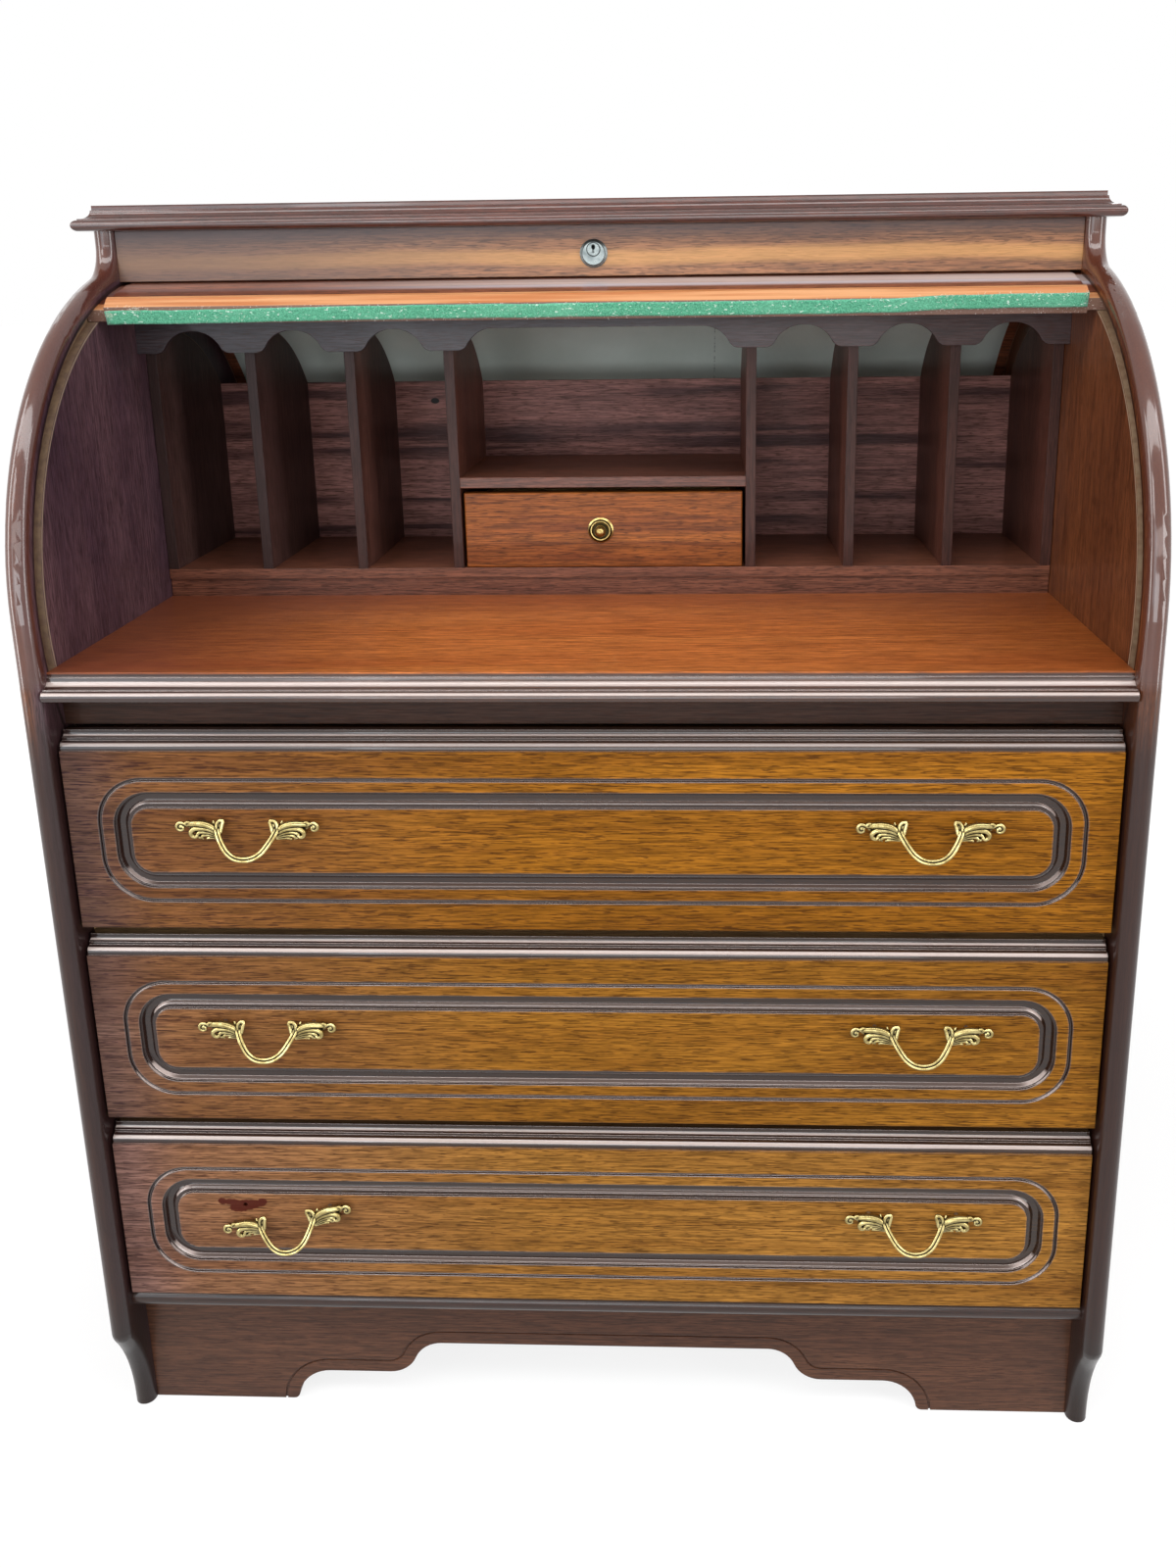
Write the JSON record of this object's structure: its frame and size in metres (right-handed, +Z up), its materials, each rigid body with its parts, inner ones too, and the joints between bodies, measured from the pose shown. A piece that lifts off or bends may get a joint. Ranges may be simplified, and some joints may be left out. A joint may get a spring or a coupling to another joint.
{
  "type": "cylinder desk",
  "caption": "Roll-top writing desk with long drawers on a shaped plinth, a writing board, pigeonholes with a small drawer, and a slatted curtain that rolls over them.",
  "frame": {"origin": "on the floor, under the middle of the bounding box", "axes": "+Z up, +X to the right of a person who faces the desk, the drawers' front faces -Y"},
  "size_m": [0.918, 0.538, 1.1],
  "materials": {
    "mahogany_case": "dark mahogany, gloss varnish",
    "mahogany_fronts": "mahogany veneer, gloss varnish",
    "mahogany_pigeonholes": "dark mahogany, satin varnish",
    "mahogany_curtain": "mahogany, gloss varnish",
    "pale_wood": "plain pale wood, unvarnished",
    "brass": "aged cast brass",
    "steel": "plain steel",
    "nickel": "dull nickel plate",
    "felt": "worn green felt",
    "canvas": "plain canvas"
  },
  "bodies": {
    "case": {"side_left": "mahogany_case", "side_right": "mahogany_case", "top_board": "mahogany_case", "frieze": "mahogany_case", "writing_board": "mahogany_case", "under_rail": "mahogany_case", "bottom_board": "mahogany_case", "plinth_front": "mahogany_case", "back_panel": "pale_wood", "plinth_back": "pale_wood", "drawer_runners": "pale_wood", "drawer_rail_1": "pale_wood", "drawer_rail_2": "pale_wood", "pigeonhole_base": "mahogany_pigeonholes", "pigeonhole_strips": "mahogany_pigeonholes", "pigeonhole_back": "mahogany_pigeonholes", "pigeonhole_shelf": "mahogany_pigeonholes", "valance": "mahogany_pigeonholes", "partition_1": "mahogany_pigeonholes", "partition_2": "mahogany_pigeonholes", "partition_3": "mahogany_pigeonholes", "partition_4": "mahogany_pigeonholes", "partition_5": "mahogany_pigeonholes", "partition_6": "mahogany_pigeonholes", "partition_7": "mahogany_pigeonholes", "partition_8": "mahogany_pigeonholes", "lock_body": "nickel"},
    "curtain": {"curtain_rail": "mahogany_curtain", "curtain_slats": "mahogany_curtain", "curtain_felt": "felt", "curtain_canvas": "canvas"},
    "drawer_1": {"drawer_1_front": "mahogany_fronts", "drawer_1_sides": "pale_wood", "drawer_1_back": "pale_wood", "drawer_1_bottom": "pale_wood", "drawer_1_handles": "brass", "drawer_1_handle_bolts": "steel"},
    "drawer_2": {"drawer_2_front": "mahogany_fronts", "drawer_2_sides": "pale_wood", "drawer_2_back": "pale_wood", "drawer_2_bottom": "pale_wood", "drawer_2_handles": "brass", "drawer_2_handle_bolts": "steel"},
    "drawer_3": {"drawer_3_front": "mahogany_fronts", "drawer_3_sides": "pale_wood", "drawer_3_back": "pale_wood", "drawer_3_bottom": "pale_wood", "drawer_3_handles": "brass", "drawer_3_handle_bolts": "steel"},
    "small_drawer": {"small_drawer_front": "mahogany_fronts", "small_drawer_sides": "pale_wood", "small_drawer_back": "pale_wood", "small_drawer_bottom": "pale_wood", "small_drawer_knob": "brass", "small_drawer_knob_screw": "steel"},
    "lock_plug": {"lock_plug": "nickel", "lock_tongue": "nickel"}
  },
  "joints": [
    {"name": "curtain_roll", "type": "hinge", "parent": "case", "child": "curtain", "pos_m": [0, 0.01903, 0.775], "axis": [1, 0, 0], "range_deg": [0, 73.26]},
    {"name": "drawer_1_slide", "type": "slide", "parent": "case", "child": "drawer_1", "axis": [0, -1, 0], "range_m": [0, 0.3]},
    {"name": "drawer_2_slide", "type": "slide", "parent": "case", "child": "drawer_2", "axis": [0, -1, 0], "range_m": [0, 0.3]},
    {"name": "drawer_3_slide", "type": "slide", "parent": "case", "child": "drawer_3", "axis": [0, -1, 0], "range_m": [0, 0.3]},
    {"name": "small_drawer_slide", "type": "slide", "parent": "case", "child": "small_drawer", "axis": [0, -1, 0], "range_m": [0, 0.105]},
    {"name": "lock_turn", "type": "hinge", "parent": "case", "child": "lock_plug", "pos_m": [0, -0.03897, 1.0569], "axis": [0, 1, 0], "range_deg": [0, 90]}
  ]
}
